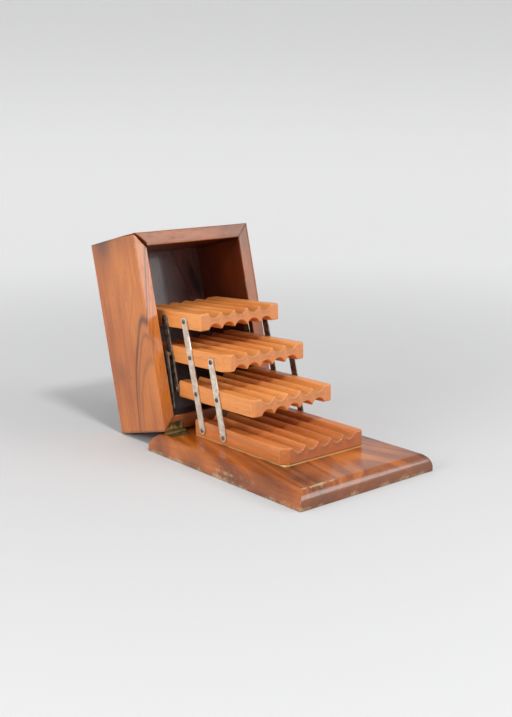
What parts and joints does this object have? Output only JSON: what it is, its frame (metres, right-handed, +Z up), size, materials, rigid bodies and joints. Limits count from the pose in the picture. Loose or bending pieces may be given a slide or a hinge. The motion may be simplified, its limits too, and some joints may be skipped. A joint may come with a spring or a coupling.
{
  "type": "fountain pen case",
  "caption": "Box-shaped pen case with a moulded base board, a hinged deep cover and grooved trays that rise in steps on side bars as it opens.",
  "frame": {"origin": "centre of the underside of the base board", "axes": "+X to the front, away from the cover hinge; +Y across the trays; +Z up"},
  "size_m": [0.3612, 0.18, 0.2277],
  "materials": {
    "board_wood": "gloss varnish, worn pale on the edges",
    "cover_wood": "satin varnish",
    "panel_wood": "satin varnish, bare and dark inside",
    "tray_wood": "thin satin varnish",
    "packing_wood": "bare",
    "bar_steel": "worn, dull",
    "link_steel": "darkened",
    "screw_steel": "tarnished",
    "hinge_brass": "aged, dull",
    "bush_brass": "dull",
    "screw_brass": "aged"
  },
  "bodies": {
    "base": {"base_board": "board_wood", "tray_1": "tray_wood", "tray_1_packing": "packing_wood", "tray_1_pivot_screws": "screw_steel", "hinge_left_board_leaf": "hinge_brass", "hinge_right_board_leaf": "hinge_brass", "hinge_left_pin": "hinge_brass", "hinge_right_pin": "hinge_brass", "board_hinge_screws": "screw_brass"},
    "cover": {"cover_left_wall": "cover_wood", "cover_right_wall": "cover_wood", "cover_front_wall": "cover_wood", "cover_rear_wall": "cover_wood", "cover_panel": "panel_wood", "hinge_left_cover_leaf": "hinge_brass", "hinge_right_cover_leaf": "hinge_brass", "cover_hinge_screws": "screw_brass", "cover_drive_screws": "screw_steel", "cover_drive_washers": "bush_brass"},
    "middle_bars": {"bar_middle_left": "bar_steel", "bar_middle_right": "bar_steel"},
    "front_bars": {"bar_front_left": "bar_steel", "bar_front_right": "bar_steel"},
    "rear_bars": {"bar_rear_left": "bar_steel", "bar_rear_right": "bar_steel"},
    "second_tray": {"tray_2": "tray_wood", "tray_2_pivot_screws": "screw_steel"},
    "third_tray": {"tray_3": "tray_wood", "tray_3_pivot_screws": "screw_steel", "drive_pivot_pins": "screw_steel", "drive_bushes": "bush_brass"},
    "top_tray": {"tray_4": "tray_wood", "tray_4_pivot_screws": "screw_steel"},
    "drive_links": {"drive_link_left": "link_steel", "drive_link_right": "link_steel"}
  },
  "joints": [
    {"name": "cover_hinge", "type": "hinge", "parent": "base", "child": "cover", "pos_m": [-0.105, 0, 0.01825], "axis": [0, 1, 0], "range_deg": [0, 104.06]},
    {"name": "middle_bars_fold", "type": "hinge", "parent": "base", "child": "middle_bars", "pos_m": [-0.071, 0, 0.0265], "axis": [0, 1, 0], "range_deg": [0, 76.64]},
    {"name": "tray_2_pivot", "type": "hinge", "parent": "middle_bars", "child": "second_tray", "pos_m": [-0.08096, 0, 0.06369], "axis": [0, 1, 0], "range_deg": [-75.44, 0]},
    {"name": "tray_3_pivot", "type": "hinge", "parent": "middle_bars", "child": "third_tray", "pos_m": [-0.09093, 0, 0.10088], "axis": [0, 1, 0], "range_deg": [-74.24, 0]},
    {"name": "tray_4_pivot", "type": "hinge", "parent": "middle_bars", "child": "top_tray", "pos_m": [-0.10089, 0, 0.13806], "axis": [0, 1, 0], "range_deg": [-73.04, 0]},
    {"name": "front_bars_fold", "type": "hinge", "parent": "second_tray", "child": "front_bars", "pos_m": [-0.04597, 0, 0.06442], "axis": [0, 1, 0], "range_deg": [0, 75.18]},
    {"name": "rear_bars_fold", "type": "hinge", "parent": "third_tray", "child": "rear_bars", "pos_m": [-0.1259, 0, 0.09941], "axis": [0, 1, 0], "range_deg": [0, 74.48]},
    {"name": "drive_links_pivot", "type": "hinge", "parent": "third_tray", "child": "drive_links", "pos_m": [-0.1259, 0, 0.09941], "axis": [0, 1, 0], "range_deg": [0, 51.18]}
  ],
  "couplings": [
    {"joint": "middle_bars_fold", "follows": "cover_hinge", "ratio": 0.73627},
    {"joint": "tray_2_pivot", "follows": "cover_hinge", "ratio": -0.72474},
    {"joint": "tray_3_pivot", "follows": "cover_hinge", "ratio": -0.71321},
    {"joint": "tray_4_pivot", "follows": "cover_hinge", "ratio": -0.70167},
    {"joint": "front_bars_fold", "follows": "cover_hinge", "ratio": 0.72228},
    {"joint": "rear_bars_fold", "follows": "cover_hinge", "ratio": 0.71554},
    {"joint": "drive_links_pivot", "follows": "cover_hinge", "ratio": 0.49167}
  ]
}
